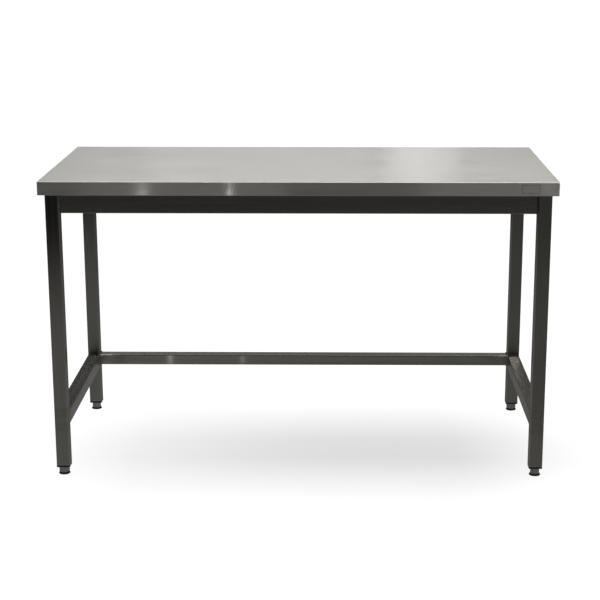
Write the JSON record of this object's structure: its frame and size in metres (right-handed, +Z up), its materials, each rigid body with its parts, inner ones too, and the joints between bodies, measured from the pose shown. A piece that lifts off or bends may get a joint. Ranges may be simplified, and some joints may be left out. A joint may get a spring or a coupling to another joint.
{
  "type": "stainless work table",
  "caption": "Free-standing stainless work table: folded worktop on square tube legs with an apron all round, low side and rear rails, open front and screw-adjustable feet.",
  "frame": {"origin": "on the floor, under the middle of the worktop", "axes": "+Z up, +X to the right seen from the front, the open front faces -Y"},
  "size_m": [1.5, 0.7, 0.9],
  "materials": {
    "worktop_steel": "brushed along the length, grade 4 grain",
    "frame_steel": "brushed along each tube",
    "badge_steel": "etched darker than the sheet round it",
    "bracket_steel": "mill finish",
    "weld_bead": "ground and brushed weld",
    "rivet_steel": "bright",
    "zinc_screw": "bright zinc plated",
    "foot_steel": "turned and brushed",
    "thread_steel": "bright rolled thread",
    "black_plastic": "moulded, matt",
    "board": "grey faced particle board"
  },
  "bodies": {
    "table": {"apron_welds": "weld_bead", "blank_badge": "badge_steel", "bracket_rivets": "rivet_steel", "bracket_screws": "zinc_screw", "centre_batten": "board", "centre_cross_rail": "frame_steel", "core_board": "board", "front_apron": "frame_steel", "front_batten": "board", "front_left_bracket": "bracket_steel", "front_left_leg": "frame_steel", "front_left_nut": "thread_steel", "front_left_plug": "black_plastic", "front_right_bracket": "bracket_steel", "front_right_leg": "frame_steel", "front_right_nut": "thread_steel", "front_right_plug": "black_plastic", "left_apron": "frame_steel", "left_batten": "board", "left_bracket": "bracket_steel", "left_lower_rail": "frame_steel", "lower_rail_welds": "weld_bead", "rear_apron": "frame_steel", "rear_batten": "board", "rear_left_bracket": "bracket_steel", "rear_left_leg": "frame_steel", "rear_left_nut": "thread_steel", "rear_left_plug": "black_plastic", "rear_lower_rail": "frame_steel", "rear_right_bracket": "bracket_steel", "rear_right_leg": "frame_steel", "rear_right_nut": "thread_steel", "rear_right_plug": "black_plastic", "right_apron": "frame_steel", "right_batten": "board", "right_bracket": "bracket_steel", "right_lower_rail": "frame_steel", "worktop_sheet": "worktop_steel"},
    "front_left_glide_body": {"front_left_glide": "black_plastic"},
    "front_left_adjuster": {"front_left_hex": "foot_steel", "front_left_stud": "thread_steel"},
    "front_right_glide_body": {"front_right_glide": "black_plastic"},
    "front_right_adjuster": {"front_right_hex": "foot_steel", "front_right_stud": "thread_steel"},
    "rear_left_glide_body": {"rear_left_glide": "black_plastic"},
    "rear_left_adjuster": {"rear_left_hex": "foot_steel", "rear_left_stud": "thread_steel"},
    "rear_right_glide_body": {"rear_right_glide": "black_plastic"},
    "rear_right_adjuster": {"rear_right_hex": "foot_steel", "rear_right_stud": "thread_steel"}
  },
  "joints": [
    {"name": "front_left_foot_lift", "type": "slide", "parent": "table", "child": "front_left_glide_body", "axis": [0, 0, -1], "range_m": [0, 0.025]},
    {"name": "front_left_foot_turn", "type": "hinge", "parent": "front_left_glide_body", "child": "front_left_adjuster", "pos_m": [-0.7125, -0.3125, 0.015], "axis": [0, 0, -1], "range_deg": [0, 5990]},
    {"name": "front_right_foot_lift", "type": "slide", "parent": "table", "child": "front_right_glide_body", "axis": [0, 0, -1], "range_m": [0, 0.025]},
    {"name": "front_right_foot_turn", "type": "hinge", "parent": "front_right_glide_body", "child": "front_right_adjuster", "pos_m": [0.7125, -0.3125, 0.015], "axis": [0, 0, -1], "range_deg": [0, 5990]},
    {"name": "rear_left_foot_lift", "type": "slide", "parent": "table", "child": "rear_left_glide_body", "axis": [0, 0, -1], "range_m": [0, 0.025]},
    {"name": "rear_left_foot_turn", "type": "hinge", "parent": "rear_left_glide_body", "child": "rear_left_adjuster", "pos_m": [-0.7125, 0.3125, 0.015], "axis": [0, 0, -1], "range_deg": [0, 5990]},
    {"name": "rear_right_foot_lift", "type": "slide", "parent": "table", "child": "rear_right_glide_body", "axis": [0, 0, -1], "range_m": [0, 0.025]},
    {"name": "rear_right_foot_turn", "type": "hinge", "parent": "rear_right_glide_body", "child": "rear_right_adjuster", "pos_m": [0.7125, 0.3125, 0.015], "axis": [0, 0, -1], "range_deg": [0, 5990]}
  ],
  "couplings": [
    {"joint": "front_left_foot_lift", "follows": "front_left_foot_turn", "m_per_rad": 0.00023873},
    {"joint": "front_right_foot_lift", "follows": "front_right_foot_turn", "m_per_rad": 0.00023873},
    {"joint": "rear_left_foot_lift", "follows": "rear_left_foot_turn", "m_per_rad": 0.00023873},
    {"joint": "rear_right_foot_lift", "follows": "rear_right_foot_turn", "m_per_rad": 0.00023873}
  ]
}
